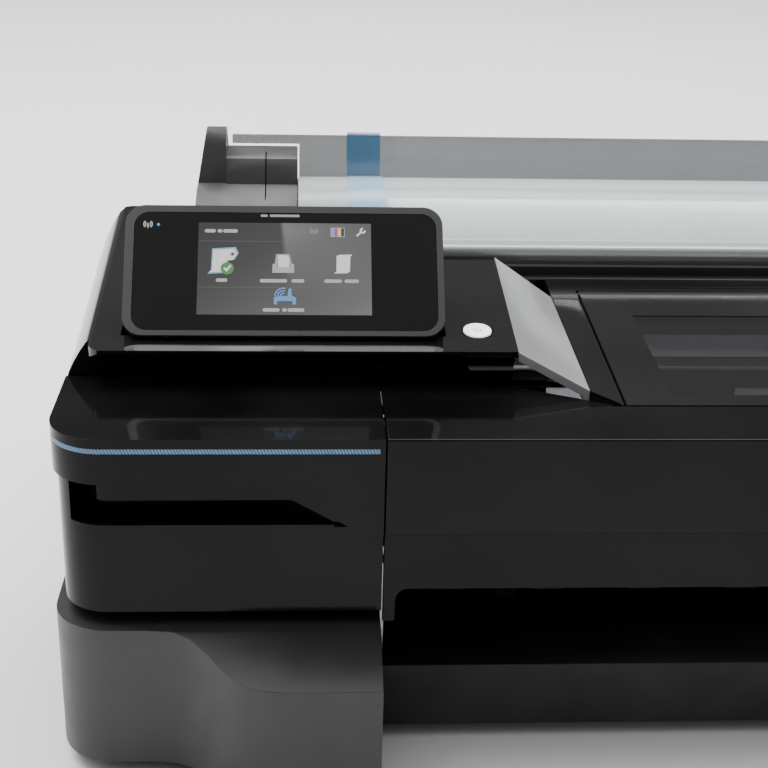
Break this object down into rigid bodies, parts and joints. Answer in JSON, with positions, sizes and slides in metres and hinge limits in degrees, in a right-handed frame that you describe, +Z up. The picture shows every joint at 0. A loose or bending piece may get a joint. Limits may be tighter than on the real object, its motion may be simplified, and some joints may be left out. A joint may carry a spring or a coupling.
{
  "type": "large format plotter",
  "caption": "Desktop roll-fed large format inkjet plotter with tilting touch panel, ink door, service window, roll cover and moving print carriage.",
  "frame": {"origin": "bottom centre of the bounding box, on the surface the feet stand on", "axes": "+Z up, the front faces -Y, +X to the right seen from the front"},
  "size_m": [0.987, 0.53, 0.285],
  "materials": {
    "foot_rubber": "matt",
    "steel_sheet": "satin",
    "base_satin": "satin, fine grain",
    "black_matte": "matt",
    "shell_satin": "satin",
    "shell_gloss": "high gloss",
    "slope_gloss": "high gloss",
    "fascia_gloss": "gloss",
    "trim_silver": "satin silver",
    "arm_textured": "fine spark texture",
    "cartridge_plastic": "matt",
    "steel_rod": "ground",
    "tube_rubber": "matt",
    "strip_clear": "film",
    "belt_rubber": "matt",
    "motor_metal": "satin",
    "board_green": "satin",
    "socket_plastic": "satin",
    "door_gloss": "high gloss",
    "stripe_blue": "fine diagonal ribs",
    "panel_gray": "satin",
    "panel_glass": "polished",
    "screen": "lit display",
    "button_white": "translucent, lit",
    "pane_tinted": "tinted clear plastic",
    "cover_clear": "milky clear plastic",
    "guide_blue": "blue clear plastic",
    "tray_smoked": "smoked clear plastic",
    "hub_blue": "satin",
    "paper": "matt",
    "carriage_plastic": "satin",
    "pulley_metal": "machined",
    "roller_rubber": "ground"
  },
  "bodies": {
    "chassis": {"feet": "foot_rubber", "bottom_plate": "steel_sheet", "base_ends": "base_satin", "base_centre": "black_matte", "rear_shell": "shell_satin", "left_housing": "shell_gloss", "right_housing": "shell_gloss", "slope_panels": "slope_gloss", "window_deck": "shell_gloss", "front_cover": "shell_gloss", "lower_fascia": "fascia_gloss", "right_front": "shell_gloss", "trim_bar": "trim_silver", "bay_arms": "arm_textured", "roll_trough": "black_matte", "tray_rail": "black_matte", "ink_station": "black_matte", "ink_cartridges": "cartridge_plastic", "door_rod": "steel_rod", "ink_tubes": "tube_rubber", "frame_plates": "steel_sheet", "platen": "black_matte", "rail_beam": "steel_sheet", "guide_rod": "steel_rod", "encoder_strip": "strip_clear", "belts": "belt_rubber", "motors": "motor_metal", "service_station": "black_matte", "pinch_frame": "steel_sheet", "main_board": "board_green", "power_supply": "steel_sheet", "rear_sockets": "socket_plastic", "panel_bracket": "black_matte", "sheet_tray": "tray_smoked"},
    "ink_door": {"ink_door": "door_gloss", "door_stripe": "stripe_blue"},
    "touch_panel": {"panel_frame": "panel_gray", "panel_glass": "panel_glass", "panel_screen": "screen", "panel_back": "black_matte"},
    "power_button": {"power_button": "button_white"},
    "window_cover": {"window_frame": "shell_gloss", "window_pane": "pane_tinted"},
    "roll_cover": {"roll_cover": "cover_clear", "cover_mark": "guide_blue"},
    "sheet_guide": {"sheet_guide": "guide_blue"},
    "roll": {"spindle": "black_matte", "roll_hubs": "hub_blue", "paper_roll": "paper"},
    "carriage": {"carriage": "carriage_plastic", "printhead": "motor_metal"},
    "cutter": {"cutter": "motor_metal"},
    "drive_pulley": {"drive_pulley": "pulley_metal"},
    "idler_pulley": {"idler_pulley": "pulley_metal"},
    "drive_roller": {"drive_roller": "roller_rubber", "feed_pulley": "pulley_metal"},
    "feed_pinion": {"feed_pinion": "pulley_metal"},
    "pinch_rollers": {"pinch_rollers": "roller_rubber"},
    "output_roller": {"output_roller": "roller_rubber"},
    "star_wheels": {"star_wheels": "steel_rod"}
  },
  "joints": [
    {"name": "ink_door_hinge", "type": "hinge", "parent": "chassis", "child": "ink_door", "pos_m": [-0.4, -0.217, 0.1055], "axis": [1, 0, 0], "range_deg": [0, 72]},
    {"name": "panel_tilt", "type": "hinge", "parent": "chassis", "child": "touch_panel", "pos_m": [-0.372, -0.12944, 0.22374], "axis": [-1, 0, 0], "range_deg": [0, 36]},
    {"name": "power_press", "type": "slide", "parent": "chassis", "child": "power_button", "axis": [0, 0.1392, -0.9903], "range_m": [0, 0.0012], "stiffness_N_per_m": 600},
    {"name": "window_hinge", "type": "hinge", "parent": "chassis", "child": "window_cover", "pos_m": [0.054, -0.03425, 0.20977], "axis": [-1, 0, 0], "range_deg": [0, 80]},
    {"name": "roll_cover_hinge", "type": "hinge", "parent": "chassis", "child": "roll_cover", "pos_m": [0, 0.098, 0.246], "axis": [-1, 0, 0], "range_deg": [0, 50]},
    {"name": "sheet_guide_slide", "type": "slide", "parent": "chassis", "child": "sheet_guide", "axis": [1, 0, 0], "range_m": [0, 0.58]},
    {"name": "roll_spin", "type": "hinge", "parent": "chassis", "child": "roll", "pos_m": [0, 0.06, 0.195], "axis": [1, 0, 0], "continuous": true},
    {"name": "carriage_slide", "type": "slide", "parent": "chassis", "child": "carriage", "axis": [-1, 0, 0], "range_m": [0, 0.79]},
    {"name": "cutter_slide", "type": "slide", "parent": "chassis", "child": "cutter", "axis": [-1, 0, 0], "range_m": [0, 0.6]},
    {"name": "drive_pulley_spin", "type": "hinge", "parent": "chassis", "child": "drive_pulley", "pos_m": [0.455, -0.06, 0.17], "axis": [0, 1, 0], "continuous": true},
    {"name": "idler_pulley_spin", "type": "hinge", "parent": "chassis", "child": "idler_pulley", "pos_m": [-0.455, -0.06, 0.17], "axis": [0, 1, 0], "continuous": true},
    {"name": "drive_roller_spin", "type": "hinge", "parent": "chassis", "child": "drive_roller", "pos_m": [0, -0.06, 0.097], "axis": [1, 0, 0], "continuous": true},
    {"name": "feed_pinion_spin", "type": "hinge", "parent": "chassis", "child": "feed_pinion", "pos_m": [0.307, -0.014, 0.097], "axis": [1, 0, 0], "continuous": true},
    {"name": "pinch_roller_spin", "type": "hinge", "parent": "chassis", "child": "pinch_rollers", "pos_m": [0, -0.06, 0.1136], "axis": [1, 0, 0], "continuous": true},
    {"name": "output_roller_spin", "type": "hinge", "parent": "chassis", "child": "output_roller", "pos_m": [0, -0.168, 0.09], "axis": [1, 0, 0], "continuous": true},
    {"name": "star_wheel_spin", "type": "hinge", "parent": "chassis", "child": "star_wheels", "pos_m": [0, -0.168, 0.1064], "axis": [1, 0, 0], "continuous": true}
  ],
  "couplings": [
    {"joint": "drive_pulley_spin", "follows": "carriage_slide", "rad_per_m": 117.65},
    {"joint": "idler_pulley_spin", "follows": "carriage_slide", "rad_per_m": 117.65},
    {"joint": "feed_pinion_spin", "follows": "drive_roller_spin", "ratio": 2.9444},
    {"joint": "pinch_roller_spin", "follows": "drive_roller_spin", "ratio": -2.2},
    {"joint": "output_roller_spin", "follows": "drive_roller_spin", "ratio": 1.2222},
    {"joint": "star_wheel_spin", "follows": "drive_roller_spin", "ratio": -1.5714}
  ]
}
